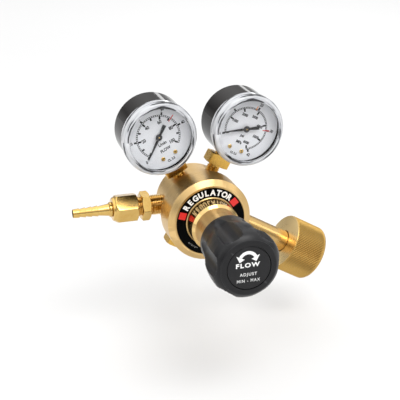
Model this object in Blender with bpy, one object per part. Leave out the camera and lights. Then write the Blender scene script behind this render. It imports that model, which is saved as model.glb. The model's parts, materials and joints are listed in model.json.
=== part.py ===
"""Single-stage gas regulator with two bottom-entry gauges, a knurled inlet nut and a barbed hose tail.

The model is laid out in millimetres around the adjusting axis, which runs front to back along +Y,
with every port in one plane behind the bonnet. An empty then moves the whole part so that the world
origin is the centre of the inlet seat. Every separate piece of the real object is its own mesh.
"""
import math

import bmesh
import bpy
from mathutils import Matrix, Vector

MM = 0.001

# Facets around each round piece.
LARGE = 36
LOBED = 36
MEDIUM = 32
SIX_SIDED = 24
SMALL = 16
TINY = 10
SPRING_STEPS = 10

# Main axis: distances along Y, from the front (negative) to the back.
KNOB_FRONT = -81.0
KNOB_BASE = -34.5
NECK_END = -34.0
SPRING_BORE_END = -24.0
COLLAR_END = -14.3
LABEL_FACE = 0.0
BONNET_EDGE = 2.8
BONNET_SHOULDER = 8.9
DIAPHRAGM_FACE = 12.0
CHAMBER_FLOOR = 19.0
BONNET_BACK = 22.6
PORT_PLANE = 38.0
BODY_BACK = 51.5

# Main axis: radii.
BONNET_RADIUS = 30.5
BONNET_BORE = 28.0
BODY_RADIUS = 26.5
CHAMBER_RADIUS = 21.0
LABEL_OUTER = 24.9
LABEL_INNER = 18.3
COLLAR_RADIUS = 17.5
NECK_RADIUS = 15.6
SPRING_BORE = 12.8
SCREW_RADIUS = 6.0
VALVE_BORE = 7.3
KNOB_FRONT_RADIUS = 19.3
KNOB_BASE_RADIUS = 18.4
KNOB_LOBES = 6
KNOB_LOBE_ANGLE = 35.0

# Ports: directions in the port plane, as degrees from +X towards +Z.
INLET_ANGLE = -30.0
OUTLET_ANGLE = 180.0
RELIEF_ANGLE = 240.0
GAUGE_TILT = 28.3
OUTLET_RISE = 1.8

# Inlet stem and nut: distances from the main axis.
STEM_RADIUS = 8.2
NUT_RADIUS = 21.3
NUT_START = 81.2
NUT_END = 108.9
NUT_THREAD_BORE = 11.0
INLET_SEAT = 96.0

# Outlet fitting: distances from the main axis.
OUTLET_HEX_HALF = 9.5
OUTLET_HEX_START = 35.2
OUTLET_HEX_END = 42.0
OUTLET_HEX_TURN = 26.0
OUTLET_NECK = 7.4
COUPLING_START = 44.7
COUPLING_END = 63.0
COUPLING_TURN = -16.0
TAIL_END = 91.5
TAIL_ROOT_RADIUS = 4.5
TAIL_TAPER = 0.04
TAIL_BARBS = 4
TAIL_BARB_PITCH = 4.5

# Gauges.
GAUGE_DISTANCE = 68.0
STEM_BLOCK_START = 32.3
STEM_BLOCK_END = 40.6
STEM_BLOCK_HALF_WIDTH = 8.4
STEM_BLOCK_HALF_DEPTH = 6.2
DIAL_PLANE = 16.0
CASE_RADIUS = 25.5
CASE_DEPTH = 30.5
LENS_RADIUS = 26.5
LENS_SKIRT = 3.4
DIAL_RADIUS = 24.0
DIAL_SETBACK = 3.5
DIAL_SCREW_SPREAD = 5.0
DIAL_SCREW_DROP = 16.2
SECTOR_RADIUS = 9.0
PINION_RADIUS = 0.9
SECTOR_CLEARANCE = 0.3
SECTOR_DROP = SECTOR_RADIUS + PINION_RADIUS + SECTOR_CLEARANCE
SECTOR_ARC_START = 56.0
SECTOR_ARC_END = 98.0
POINTER_REACH = 18.4
FLOW_ZERO = -126.5
PRESSURE_ZERO = -120.0

BRASS = ((0.74, 0.53, 0.22), 0.3, 1.0)
BRIGHT_BRASS = ((0.83, 0.62, 0.27), 0.2, 1.0)
STEEL = ((0.55, 0.55, 0.56), 0.35, 1.0)
SPRING_STEEL = ((0.35, 0.36, 0.38), 0.4, 1.0)
ALUMINIUM = ((0.75, 0.76, 0.78), 0.4, 1.0)
BLACK_PLASTIC = ((0.035, 0.035, 0.038), 0.45, 0.0)
BLACK_ENAMEL = ((0.02, 0.018, 0.016), 0.15, 0.0)
RUBBER = ((0.03, 0.03, 0.03), 0.8, 0.0)
NYLON = ((0.85, 0.84, 0.78), 0.5, 0.0)
BRONZE = ((0.45, 0.3, 0.15), 0.8, 0.6)
WHITE_ENAMEL = ((0.93, 0.93, 0.92), 0.4, 0.0)
CLEAR_PLASTIC = ((0.9, 0.92, 0.93), 0.08, 0.0)


def clear_scene():
    """Remove whatever the open file holds."""
    for item in list(bpy.data.objects):
        bpy.data.objects.remove(item, do_unlink=True)


def placement(origin, direction, side):
    """Matrix whose local Z runs along direction and whose local X lies along side; origin in mm."""
    forward = Vector(direction).normalized()
    across = Vector(side)
    across = (across - across.dot(forward) * forward).normalized()
    upward = forward.cross(across)
    turn = Matrix((across, upward, forward)).transposed().to_4x4()
    return Matrix.Translation(Vector(origin) * MM) @ turn


def port_direction(degrees):
    """Unit vector in the port plane."""
    angle = math.radians(degrees)
    return Vector((math.cos(angle), 0.0, math.sin(angle)))


def port_axis(degrees, rise=0.0):
    """Placement on a port: local Z leaves the main axis, local X points to the back."""
    return placement((0.0, PORT_PLANE, rise), port_direction(degrees), (0.0, 1.0, 0.0))


def surface(name, look):
    """Principled material from a (colour, roughness, metallic) look."""
    colour, roughness, metallic = look
    material = bpy.data.materials.new(name)
    material.use_nodes = True
    shader = material.node_tree.nodes["Principled BSDF"]
    shader.inputs["Base Color"].default_value = (*colour, 1.0)
    shader.inputs["Roughness"].default_value = roughness
    shader.inputs["Metallic"].default_value = metallic
    material.diffuse_color = (*colour, 1.0)
    return material


def finish(name, form, where, look):
    """Turn a bmesh into a shaded object of the regulator."""
    bmesh.ops.recalc_face_normals(form, faces=form.faces)
    mesh = bpy.data.meshes.new(name)
    form.to_mesh(mesh)
    form.free()
    mesh.shade_smooth()
    mesh.set_sharp_from_angle(angle=math.radians(30.0))
    return place(name, mesh, where, look)


def place(name, data, where, look):
    """Link an object and parent it to the regulator's own frame."""
    item = bpy.data.objects.new(name, data)
    bpy.context.collection.objects.link(item)
    item.parent = bpy.data.objects["regulator_frame"]
    item.matrix_basis = where
    data.materials.append(surface(name, look))
    return item


def hexagon(angle):
    """Radius of a hexagon around an inscribed circle of radius 1, corners at 30 degrees."""
    sector = math.pi / 3.0
    return 1.0 / math.cos((angle + sector / 2.0) % sector - sector / 2.0)


def square(angle):
    """Radius of a square around an inscribed circle of radius 1, corners at 45 degrees."""
    sector = math.pi / 2.0
    return 1.0 / math.cos((angle + sector / 2.0) % sector - sector / 2.0)


def stem_block(angle):
    """Reach, in mm, of the rectangular wrench block under a gauge, deep along X and wide along Y."""
    along = STEM_BLOCK_HALF_DEPTH / max(abs(math.cos(angle)), 0.001)
    across = STEM_BLOCK_HALF_WIDTH / max(abs(math.sin(angle)), 0.001)
    return min(along, across)


def join_rings(form, ring, following):
    """Faces between two rings of equal count, or between a ring and a single point."""
    count = max(len(ring), len(following))
    if count == 1:
        return
    for index in range(count):
        after = (index + 1) % count
        if len(ring) == 1:
            form.faces.new((ring[0], following[after], following[index]))
        elif len(following) == 1:
            form.faces.new((ring[index], ring[after], following[0]))
        else:
            form.faces.new((ring[index], ring[after], following[after], following[index]))


def turned(name, where, outline, look, sides=SMALL):
    """Closed solid around local Z. Each outline corner is (radius, height), in mm, or
    (radius, height, section), where section(angle) scales the radius."""
    form = bmesh.new()
    rings = []
    for corner in outline:
        radius = corner[0] * MM
        height = corner[1] * MM
        section = corner[2] if len(corner) == 3 else None
        if radius == 0.0:
            rings.append([form.verts.new((0.0, 0.0, height))])
            continue
        ring = []
        for index in range(sides):
            angle = 2.0 * math.pi * index / sides
            reach = radius * (section(angle) if section else 1.0)
            ring.append(form.verts.new((reach * math.cos(angle), reach * math.sin(angle), height)))
        rings.append(ring)
    for ring, following in zip(rings, rings[1:] + rings[:1]):
        join_rings(form, ring, following)
    return finish(name, form, where, look)


def extruded(name, where, corners, low, high, look):
    """Prism with the given (x, y) corners, in mm, between two heights."""
    form = bmesh.new()
    base = [form.verts.new((x * MM, y * MM, low * MM)) for x, y in corners]
    face = form.faces.new(base)
    raised = bmesh.ops.extrude_face_region(form, geom=[face])
    tops = [item for item in raised["geom"] if isinstance(item, bmesh.types.BMVert)]
    bmesh.ops.translate(form, verts=tops, vec=(0.0, 0.0, (high - low) * MM))
    return finish(name, form, where, look)


def wire(name, where, points, radius, look, resolution=1):
    """Round wire through points given in mm."""
    curve = bpy.data.curves.new(name, "CURVE")
    curve.dimensions = "3D"
    curve.bevel_depth = radius * MM
    curve.bevel_resolution = resolution
    curve.use_fill_caps = True
    spline = curve.splines.new("POLY")
    spline.points.add(len(points) - 1)
    for point, place_on in zip(spline.points, points):
        point.co = (place_on[0] * MM, place_on[1] * MM, place_on[2] * MM, 1.0)
    return place(name, curve, where, look)


def coil_spring(name, where, radius, wire_radius, start, end, turns):
    """Compression spring around local Z between two heights."""
    low = start + wire_radius
    high = end - wire_radius
    count = turns * SPRING_STEPS
    points = []
    for index in range(count + 1):
        angle = 2.0 * math.pi * index / SPRING_STEPS
        height = low + (high - low) * index / count
        points.append((radius * math.cos(angle), radius * math.sin(angle), height))
    return wire(name, where, points, wire_radius, SPRING_STEEL, 1 if wire_radius > 1.0 else 0)


def cut(item, name, where, outline, sides=SMALL):
    """Take a turned shape out of an item."""
    cutter = turned(name, where, outline, STEEL, sides)
    cutter.hide_render = True
    cutter.display_type = "WIRE"
    modifier = item.modifiers.new(name, "BOOLEAN")
    modifier.operation = "DIFFERENCE"
    modifier.solver = "EXACT"
    modifier.object = cutter


def bored(radius, start, end):
    """Outline of a plain round bar, for cutters and pins."""
    return [(0.0, start), (radius, start), (radius, end), (0.0, end)]


def build_body(axis):
    """Rear body: low-pressure chamber in front, high-pressure bore behind, and five ports."""
    body = turned("body", axis, [
        (27.6, DIAPHRAGM_FACE), (27.6, 24.2), (BODY_RADIUS, 25.4), (BODY_RADIUS, BODY_BACK - 1.0),
        (BODY_RADIUS - 1.0, BODY_BACK), (VALVE_BORE, BODY_BACK), (VALVE_BORE, 29.0), (4.0, 29.0),
        (4.0, 27.0), (5.8, 27.0), (5.8, CHAMBER_FLOOR), (CHAMBER_RADIUS, CHAMBER_FLOOR),
        (CHAMBER_RADIUS, DIAPHRAGM_FACE)], BRASS, LARGE)
    high_pressure = {"inlet": (INLET_ANGLE, 6.5, 2.0), "pressure": (90.0 - GAUGE_TILT, 5.0, 1.2)}
    for name, (angle, socket, passage) in high_pressure.items():
        cut(body, name + "_port", port_axis(angle), [
            (0.0, 5.0), (passage, 5.0), (passage, 17.0), (socket, 17.0), (socket, 32.0), (0.0, 32.0)])
    low_pressure = {"flow": (90.0 + GAUGE_TILT, 5.0, 0.0), "relief": (RELIEF_ANGLE, 5.0, 0.0),
                    "outlet": (OUTLET_ANGLE, 6.65, OUTLET_RISE)}
    for name, (angle, socket, rise) in low_pressure.items():
        cut(body, name + "_port", port_axis(angle, rise), bored(socket, 14.5, 32.0))
        drill = port_direction(angle) * 15.9 + Vector((0.0, 0.0, rise))
        cut(body, name + "_drilling", placement(drill, (0.0, 1.0, 0.0), (1.0, 0.0, 0.0)),
            bored(1.3, CHAMBER_FLOOR - 2.0, PORT_PLANE), TINY)


def build_bonnet(axis):
    """Bonnet ring, label recess, collar and neck in one turned piece, with the printed ring in front."""
    turned("bonnet", axis, [
        (BONNET_RADIUS, BONNET_BACK), (BONNET_RADIUS, BONNET_EDGE), (26.7, LABEL_FACE),
        (26.5, -0.2), (25.2, -0.2), (25.2, 0.5), (18.0, 0.5), (18.0, -0.2), (COLLAR_RADIUS, -0.5),
        (COLLAR_RADIUS, COLLAR_END + 2.0), (NECK_RADIUS, COLLAR_END), (NECK_RADIUS, NECK_END + 0.8),
        (NECK_RADIUS - 0.8, NECK_END), (SCREW_RADIUS + 0.4, NECK_END),
        (SCREW_RADIUS + 0.4, SPRING_BORE_END), (SPRING_BORE, SPRING_BORE_END), (SPRING_BORE, 5.0),
        (20.0, 5.0), (20.0, BONNET_SHOULDER), (BONNET_BORE, BONNET_SHOULDER),
        (BONNET_BORE, BONNET_BACK)], BRASS, LARGE)
    turned("label_ring", axis, [
        (LABEL_OUTER, 0.2), (LABEL_OUTER, -0.1), (LABEL_INNER, -0.1), (LABEL_INNER, 0.2)],
        BLACK_ENAMEL, LARGE)


def build_diaphragm(axis):
    """Diaphragm, the ring that clamps it, and the plate and nut that grip its centre."""
    turned("slip_ring", axis, [(27.3, 9.2), (21.5, 9.2), (21.5, 10.2), (27.3, 10.2)], STEEL, SIX_SIDED)
    turned("diaphragm", axis, [
        (27.3, 10.5), (20.5, 10.5), (19.5, 10.6), (3.3, 10.6), (3.3, 11.7), (27.3, 11.7)],
        RUBBER, SIX_SIDED)
    turned("diaphragm_plate", axis, [
        (0.0, 5.0), (7.6, 5.0), (7.6, 8.2), (18.0, 8.2), (18.0, 10.2), (3.0, 10.2), (3.0, 14.0),
        (0.0, 14.0)], ALUMINIUM, SIX_SIDED)
    turned("diaphragm_nut", axis, [
        (3.3, 12.0), (5.0, 12.0, hexagon), (5.0, 14.6, hexagon), (3.3, 14.6)], BRASS, SIX_SIDED)


def build_valve(axis):
    """Nozzle, poppet, soft seat, closing spring and the plug behind them."""
    turned("valve_nozzle", axis, [
        (1.5, 17.2), (7.5, 17.2), (7.5, 18.7), (5.5, 18.7), (5.5, 26.7), (1.5, 26.7)], BRASS, SMALL)
    turned("poppet_seat", axis, [(1.4, 27.0), (3.2, 27.0), (3.2, 28.4), (1.4, 28.4)], NYLON, SMALL)
    turned("poppet", axis, [
        (0.0, 14.3), (1.1, 14.3), (1.1, 28.7), (3.4, 28.7), (3.4, 33.0), (2.0, 33.0), (2.0, 46.0),
        (0.0, 46.0)], BRASS, TINY)
    coil_spring("poppet_spring", axis, 3.2, 0.5, 33.3, 39.6, 4)
    turned("valve_plug", axis, [
        (2.4, 40.0), (VALVE_BORE - 0.35, 40.0), (VALVE_BORE - 0.35, BODY_BACK + 1.3),
        (10.5, BODY_BACK + 1.3, hexagon), (10.5, BODY_BACK + 5.5, hexagon), (0.0, BODY_BACK + 5.5),
        (0.0, 48.0), (2.4, 48.0)], BRASS, SIX_SIDED)
    turned("plug_washer", axis, [
        (7.7, BODY_BACK + 0.3), (10.3, BODY_BACK + 0.3), (10.3, BODY_BACK + 1.0),
        (7.7, BODY_BACK + 1.0)], NYLON, SMALL)


def knob_grip(depth):
    """Section with six rounded lobes; depth is how far they rise and fall, as a part of the radius."""
    def section(angle):
        wave = math.cos(KNOB_LOBES * (angle + math.radians(KNOB_LOBE_ANGLE)))
        return 1.0 + depth * math.copysign(abs(wave) ** 0.6, wave)
    return section


def build_adjuster(axis):
    """Adjusting spring and its button, the screw that loads them, and the knob on the screw."""
    coil_spring("adjusting_spring", axis, 9.6, 1.5, -18.7, 7.8, 5)
    turned("spring_button", axis, [
        (0.0, -22.2), (11.5, -22.2), (11.5, -19.2), (7.6, -19.2), (7.6, -16.5), (0.0, -16.5)],
        STEEL, SMALL)
    turned("adjusting_screw", axis, [
        (0.0, -22.5), (SCREW_RADIUS - 1.0, -22.5), (SCREW_RADIUS, -23.5), (SCREW_RADIUS, -65.5),
        (2.7, -65.5), (2.7, -55.0), (0.0, -55.0)], BRASS, SMALL)
    turned("knob", axis, [
        (KNOB_BASE_RADIUS, KNOB_BASE), (16.2, KNOB_BASE), (16.2, -43.5), (SCREW_RADIUS + 0.4, -43.5),
        (SCREW_RADIUS + 0.4, -66.0), (3.0, -66.0), (3.0, -71.0), (5.2, -71.0), (5.2, -77.2),
        (15.1, -77.2), (15.1, KNOB_FRONT), (KNOB_FRONT_RADIUS - 1.0, KNOB_FRONT),
        (KNOB_FRONT_RADIUS, KNOB_FRONT + 1.2), (20.6, -74.5, knob_grip(0.12)),
        (20.6, -66.0, knob_grip(0.13)), (20.6, -58.0, knob_grip(0.13)), (19.2, -49.0, knob_grip(0.06)),
        (18.6, -41.0)], BLACK_PLASTIC, LOBED)
    turned("knob_cap", axis, [
        (0.0, KNOB_FRONT), (14.6, KNOB_FRONT), (14.8, KNOB_FRONT + 0.3), (14.8, -77.5), (0.0, -77.5)],
        BLACK_PLASTIC, SIX_SIDED)
    turned("knob_screw", axis, [
        (0.0, -76.6), (4.5, -76.6), (4.5, -71.3), (2.4, -71.3), (2.4, -57.0), (0.0, -57.0)],
        STEEL, TINY)


def build_inlet(axis):
    """Inlet stem with its seat, seal and filter, and the hand nut that turns on it."""
    turned("inlet_stem", axis, [
        (2.0, 17.5), (6.1, 17.5), (6.1, 27.0), (STEM_RADIUS, 27.0), (STEM_RADIUS, 86.0), (10.4, 86.0),
        (10.4, 90.0), (8.0, 90.6), (8.0, 92.0), (6.1, 92.0), (6.1, 95.0), (7.6, 95.0),
        (7.6, INLET_SEAT), (3.5, INLET_SEAT), (3.5, 88.0), (2.0, 88.0)], BRASS, SIX_SIDED)
    ring = []
    for index in range(8):
        angle = 2.0 * math.pi * index / 8
        ring.append((7.55 + 1.1 * math.cos(angle), 93.5 + 1.1 * math.sin(angle)))
    turned("inlet_seal", axis, ring, RUBBER, SMALL)
    turned("inlet_filter", axis, bored(3.1, 88.4, INLET_SEAT - 0.5), BRONZE, TINY)
    turned("hand_nut", axis, [
        (8.6, NUT_START), (NUT_RADIUS - 0.6, NUT_START), (NUT_RADIUS, NUT_START + 0.6),
        (NUT_RADIUS, NUT_END - 2.5), (NUT_RADIUS - 2.5, NUT_END), (NUT_THREAD_BORE + 0.6, NUT_END),
        (NUT_THREAD_BORE, NUT_END - 0.6), (NUT_THREAD_BORE, 85.6), (8.6, 85.6)], BRASS, MEDIUM)


def build_outlet(axis):
    """Threaded outlet adaptor, coupling nut and barbed hose tail."""
    turned("outlet_adaptor", axis @ Matrix.Rotation(math.radians(OUTLET_HEX_TURN), 4, "Z"), [
        (2.0, 17.5), (6.3, 17.5), (6.3, 27.0), (OUTLET_NECK, 27.0), (OUTLET_NECK, OUTLET_HEX_START),
        (OUTLET_HEX_HALF, OUTLET_HEX_START, hexagon),
        (OUTLET_HEX_HALF, OUTLET_HEX_END, hexagon), (7.5, OUTLET_HEX_END), (7.5, 54.5), (2.0, 54.5)],
        BRIGHT_BRASS, SIX_SIDED)
    turned("coupling_nut", axis @ Matrix.Rotation(math.radians(COUPLING_TURN), 4, "Z"), [
        (7.9, COUPLING_START), (OUTLET_HEX_HALF, COUPLING_START, hexagon),
        (OUTLET_HEX_HALF, COUPLING_END - 2.5, hexagon), (8.6, COUPLING_END - 2.5),
        (8.6, COUPLING_END), (5.2, COUPLING_END), (5.2, 57.0), (7.9, 57.0)], BRIGHT_BRASS, SIX_SIDED)
    barbs = []
    for index in range(TAIL_BARBS):
        crest = TAIL_END - (TAIL_BARBS - index) * TAIL_BARB_PITCH
        taper = TAIL_TAPER * (crest - COUPLING_END)
        barbs.append((TAIL_ROOT_RADIUS - taper - 0.35, crest - 0.1))
        barbs.append((TAIL_ROOT_RADIUS - taper, crest))
    turned("hose_tail", axis, [
        (1.9, 54.9), (7.4, 54.9), (7.4, 56.6), (4.8, 56.6), (4.8, COUPLING_END + 0.3),
        (5.5, COUPLING_END + 0.3), (5.5, COUPLING_END + 1.8), (TAIL_ROOT_RADIUS, COUPLING_END + 2.4)]
        + barbs + [(3.1, TAIL_END), (1.9, TAIL_END)], BRIGHT_BRASS, SMALL)


def build_relief(axis):
    """Relief valve: body, sprung disc and vented cap."""
    turned("relief_body", axis, [
        (1.2, 17.5), (4.7, 17.5), (4.7, 28.0), (6.2, 28.0, square), (6.2, 35.8, square),
        (3.9, 35.8), (3.9, 21.5), (1.2, 21.5)], BRASS, SIX_SIDED)
    turned("relief_disc", axis, [
        (0.0, 21.8), (3.4, 21.8), (3.4, 24.5), (1.0, 24.5), (1.0, 28.0), (0.0, 28.0)], NYLON, TINY)
    coil_spring("relief_spring", axis, 2.5, 0.45, 24.8, 31.9, 4)
    turned("relief_cap", axis, [
        (1.2, 32.2), (3.5, 32.2), (3.5, 35.5), (1.2, 35.5)], BRASS, SMALL)


def sector_outline(angle):
    """Toothless quadrant around its pivot: a long arc on one side and a small hub elsewhere."""
    degrees = math.degrees(angle)
    if SECTOR_ARC_START < degrees < SECTOR_ARC_END:
        return SECTOR_RADIUS
    return 2.2


def pointer_outline():
    """Pointer seen from the front, tip along +Y: a fine blade, a round hub and a broad tail."""
    hub_radius = 2.4
    tail_length = 9.6
    corners = [(0.2, POINTER_REACH), (-0.2, POINTER_REACH)]
    for degrees in range(120, 241, 30):
        angle = math.radians(degrees)
        corners.append((hub_radius * math.cos(angle), hub_radius * math.sin(angle)))
    corners += [(-1.25, -tail_length), (1.25, -tail_length)]
    for degrees in range(300, 421, 30):
        angle = math.radians(degrees)
        corners.append((hub_radius * math.cos(angle), hub_radius * math.sin(angle)))
    return corners


def build_gauge(name, side, zero):
    """One gauge. side is -1 on the left and 1 on the right; zero is the pointer's angle at no load,
    in degrees clockwise from the gauge's own top."""
    tilt = math.radians(GAUGE_TILT) * side
    outward = Vector((math.sin(tilt), 0.0, math.cos(tilt)))
    across = Vector((math.cos(tilt), 0.0, -math.sin(tilt)))
    centre = outward * GAUGE_DISTANCE + Vector((0.0, DIAL_PLANE, 0.0))
    face = placement(centre, (0.0, -1.0, 0.0), across)
    recess = face @ Matrix.Translation(Vector((0.0, 0.0, -DIAL_SETBACK)) * MM)
    stem = port_axis(90.0 - side * GAUGE_TILT)
    back = -CASE_DEPTH
    case = turned(name + "_case", face, [
        (5.2, back), (CASE_RADIUS - 1.5, back), (CASE_RADIUS, back + 1.5), (CASE_RADIUS, -1.5),
        (CASE_RADIUS - 0.8, -1.5), (CASE_RADIUS - 0.8, back + 1.8), (CASE_RADIUS - 1.8, back + 0.8),
        (5.2, back + 0.8)], BLACK_ENAMEL, MEDIUM)
    cut(case, name + "_stem_hole", stem, bored(4.3, 40.0, 46.0), TINY)
    turned(name + "_blowout_plug", face, [
        (0.0, back - 1.3), (6.2, back - 1.3), (6.2, back - 0.3), (4.8, back - 0.3), (4.8, back + 1.1),
        (0.0, back + 1.1)], RUBBER, SMALL)
    turned(name + "_lens", face, [
        (0.0, 5.2), (22.5, 5.2), (25.3, 4.2), (LENS_RADIUS, 1.8), (LENS_RADIUS, -LENS_SKIRT),
        (CASE_RADIUS + 0.35, -LENS_SKIRT), (CASE_RADIUS + 0.35, -1.0), (DIAL_RADIUS + 0.4, -1.0),
        (DIAL_RADIUS + 0.4, 2.6), (22.0, 3.8), (0.0, 3.8)], CLEAR_PLASTIC, MEDIUM)
    dial = turned(name + "_dial", recess, [
        (1.6, 0.0), (DIAL_RADIUS, 0.0), (DIAL_RADIUS, -0.7), (1.6, -0.7)], WHITE_ENAMEL, SIX_SIDED)
    for index, spread in enumerate((-DIAL_SCREW_SPREAD, DIAL_SCREW_SPREAD)):
        spot = recess @ Matrix.Translation(Vector((spread, -DIAL_SCREW_DROP, 0.0)) * MM)
        cut(dial, "%s_dial_hole_%d" % (name, index + 1), spot, bored(1.2, -2.0, 2.0), TINY)
        turned("%s_dial_screw_%d" % (name, index + 1), spot, [
            (0.0, 0.9), (1.2, 0.9), (1.5, 0.35), (0.85, 0.35), (0.85, -4.5), (0.0, -4.5)],
            BRIGHT_BRASS, TINY)
    swing = recess @ Matrix.Rotation(math.radians(-zero), 4, "Z")
    extruded(name + "_pointer", swing, pointer_outline(), 1.6, 2.2, BLACK_PLASTIC)
    turned(name + "_pinion_shaft", face, bored(PINION_RADIUS, -14.0, 1.3 - DIAL_SETBACK), BRASS, TINY)
    pivot = face @ Matrix.Translation(Vector((0.0, -SECTOR_DROP, 0.0)) * MM)
    turned(name + "_sector", pivot, [
        (0.0, -14.0), (0.9, -14.0), (0.9, -12.4), (1.0, -12.4, sector_outline),
        (1.0, -11.6, sector_outline), (0.9, -11.6), (0.9, -9.8), (0.0, -9.8)], BRASS, SIX_SIDED)
    build_movement(name, face)
    arc = []
    for index in range(25):
        angle = math.radians(-65.0 + 250.0 * index / 24)
        arc.append((17.6 * math.cos(angle), 17.6 * math.sin(angle), -20.0))
    wire(name + "_bourdon_tube", face, arc, 1.6, BRASS)
    turned(name + "_stem", stem, [
        (1.0, 17.5), (4.6, 17.5), (4.6, STEM_BLOCK_START), (1.0, STEM_BLOCK_START, stem_block),
        (1.0, STEM_BLOCK_END, stem_block), (3.8, STEM_BLOCK_END),
        (3.8, 47.4), (1.0, 47.4)], BRASS, SIX_SIDED)


def build_movement(name, face):
    """Bent frame that carries the pinion shaft and the sector between its two plates."""
    sheet = placement((0.0, 0.0, 0.0), (0.0, 1.0, 0.0), (1.0, 0.0, 0.0))
    bend = [(-7.0, 8.3), (-7.0, 9.5), (8.0, 9.5), (8.0, 14.3), (-7.0, 14.3), (-7.0, 15.5),
            (9.2, 15.5), (9.2, 8.3)]
    frame = extruded(name + "_movement_frame", face @ sheet, bend, -15.0, 4.0, BRASS)
    cut(frame, name + "_shaft_hole", face, bored(1.35, -10.5, -7.5), TINY)


def build():
    """Build every piece around the frame that puts the inlet seat at the world origin."""
    clear_scene()
    seat = port_direction(INLET_ANGLE) * INLET_SEAT + Vector((0.0, PORT_PLANE, 0.0))
    frame = bpy.data.objects.new("regulator_frame", None)
    frame.location = -seat * MM
    bpy.context.collection.objects.link(frame)
    main = placement((0.0, 0.0, 0.0), (0.0, 1.0, 0.0), (1.0, 0.0, 0.0))
    build_body(main)
    build_bonnet(main)
    build_diaphragm(main)
    build_valve(main)
    build_adjuster(main)
    build_inlet(port_axis(INLET_ANGLE))
    build_outlet(port_axis(OUTLET_ANGLE, OUTLET_RISE))
    build_relief(port_axis(RELIEF_ANGLE))
    build_gauge("flow", -1, FLOW_ZERO)
    build_gauge("pressure", 1, PRESSURE_ZERO)


build()
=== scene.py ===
import json
import math

import bpy
import bmesh
from mathutils import Matrix, Vector


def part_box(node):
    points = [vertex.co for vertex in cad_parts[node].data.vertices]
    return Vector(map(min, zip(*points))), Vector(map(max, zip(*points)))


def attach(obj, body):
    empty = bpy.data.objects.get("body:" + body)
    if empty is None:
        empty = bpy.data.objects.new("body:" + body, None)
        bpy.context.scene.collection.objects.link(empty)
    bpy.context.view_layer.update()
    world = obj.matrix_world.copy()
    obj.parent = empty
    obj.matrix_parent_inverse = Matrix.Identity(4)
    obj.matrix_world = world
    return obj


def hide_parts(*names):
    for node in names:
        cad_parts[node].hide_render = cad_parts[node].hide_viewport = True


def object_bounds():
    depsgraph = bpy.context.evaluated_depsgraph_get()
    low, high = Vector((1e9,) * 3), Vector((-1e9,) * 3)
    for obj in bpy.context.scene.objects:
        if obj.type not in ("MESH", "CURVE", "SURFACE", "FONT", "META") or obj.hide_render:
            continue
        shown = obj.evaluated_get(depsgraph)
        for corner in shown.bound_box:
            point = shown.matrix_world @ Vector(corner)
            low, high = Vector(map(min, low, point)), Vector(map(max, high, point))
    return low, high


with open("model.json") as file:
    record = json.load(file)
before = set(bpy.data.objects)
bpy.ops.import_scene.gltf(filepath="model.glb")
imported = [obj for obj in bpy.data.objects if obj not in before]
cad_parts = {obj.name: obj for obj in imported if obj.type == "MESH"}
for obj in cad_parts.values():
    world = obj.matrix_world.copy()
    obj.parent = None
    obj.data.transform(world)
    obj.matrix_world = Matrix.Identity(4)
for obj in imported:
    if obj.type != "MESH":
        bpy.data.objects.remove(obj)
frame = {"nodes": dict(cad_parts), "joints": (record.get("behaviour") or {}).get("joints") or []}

cad_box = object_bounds()
joints = {joint["name"]: joint for joint in frame["joints"]}

# Sizes are in millimetres unless a line says otherwise. LABEL_FACE is how far the printed ring's face
# stands in front of the main origin, and INK is how far print stands above what it is printed on.
MM = 0.001
LABEL_FACE = 0.1
INK = 0.03

# ---------------------------------------------------------------- places

bonnet_low, bonnet_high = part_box("bonnet")
label_low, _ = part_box("label_ring")
ORIGIN = Vector(((bonnet_low.x + bonnet_high.x) / 2, label_low.y + LABEL_FACE * MM,
                 (bonnet_low.z + bonnet_high.z) / 2))
SEAT = Vector(joints["hand_nut_turn"]["pos_m"])
INLET = Vector(joints["hand_nut_turn"]["axis"]).normalized()
OUTLET = Vector(joints["coupling_nut_turn"]["axis"]).normalized()
RELIEF = Vector(joints["relief_lift"]["axis"]).normalized()
PORTS = Vector((ORIGIN.x, SEAT.y, ORIGIN.z))


def placement(origin, direction, side):
    """Matrix whose local Z runs along direction and whose local X lies along side."""
    forward = Vector(direction).normalized()
    across = Vector(side)
    across = (across - across.dot(forward) * forward).normalized()
    turn = Matrix((across, forward.cross(across), forward)).transposed().to_4x4()
    return Matrix.Translation(Vector(origin)) @ turn


MAIN = placement(ORIGIN, (0, 1, 0), (1, 0, 0))
FRONT = placement(ORIGIN, (0, -1, 0), (1, 0, 0))
INLET_PORT = placement(PORTS, INLET, (0, 1, 0))
outlet_low, outlet_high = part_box("outlet_adaptor")
OUTLET_PORT = placement(Vector((PORTS.x, PORTS.y, (outlet_low.z + outlet_high.z) / 2)), OUTLET, (0, 1, 0))
RELIEF_PORT = placement(PORTS, RELIEF, (0, 1, 0))

# ---------------------------------------------------------------- materials


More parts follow.
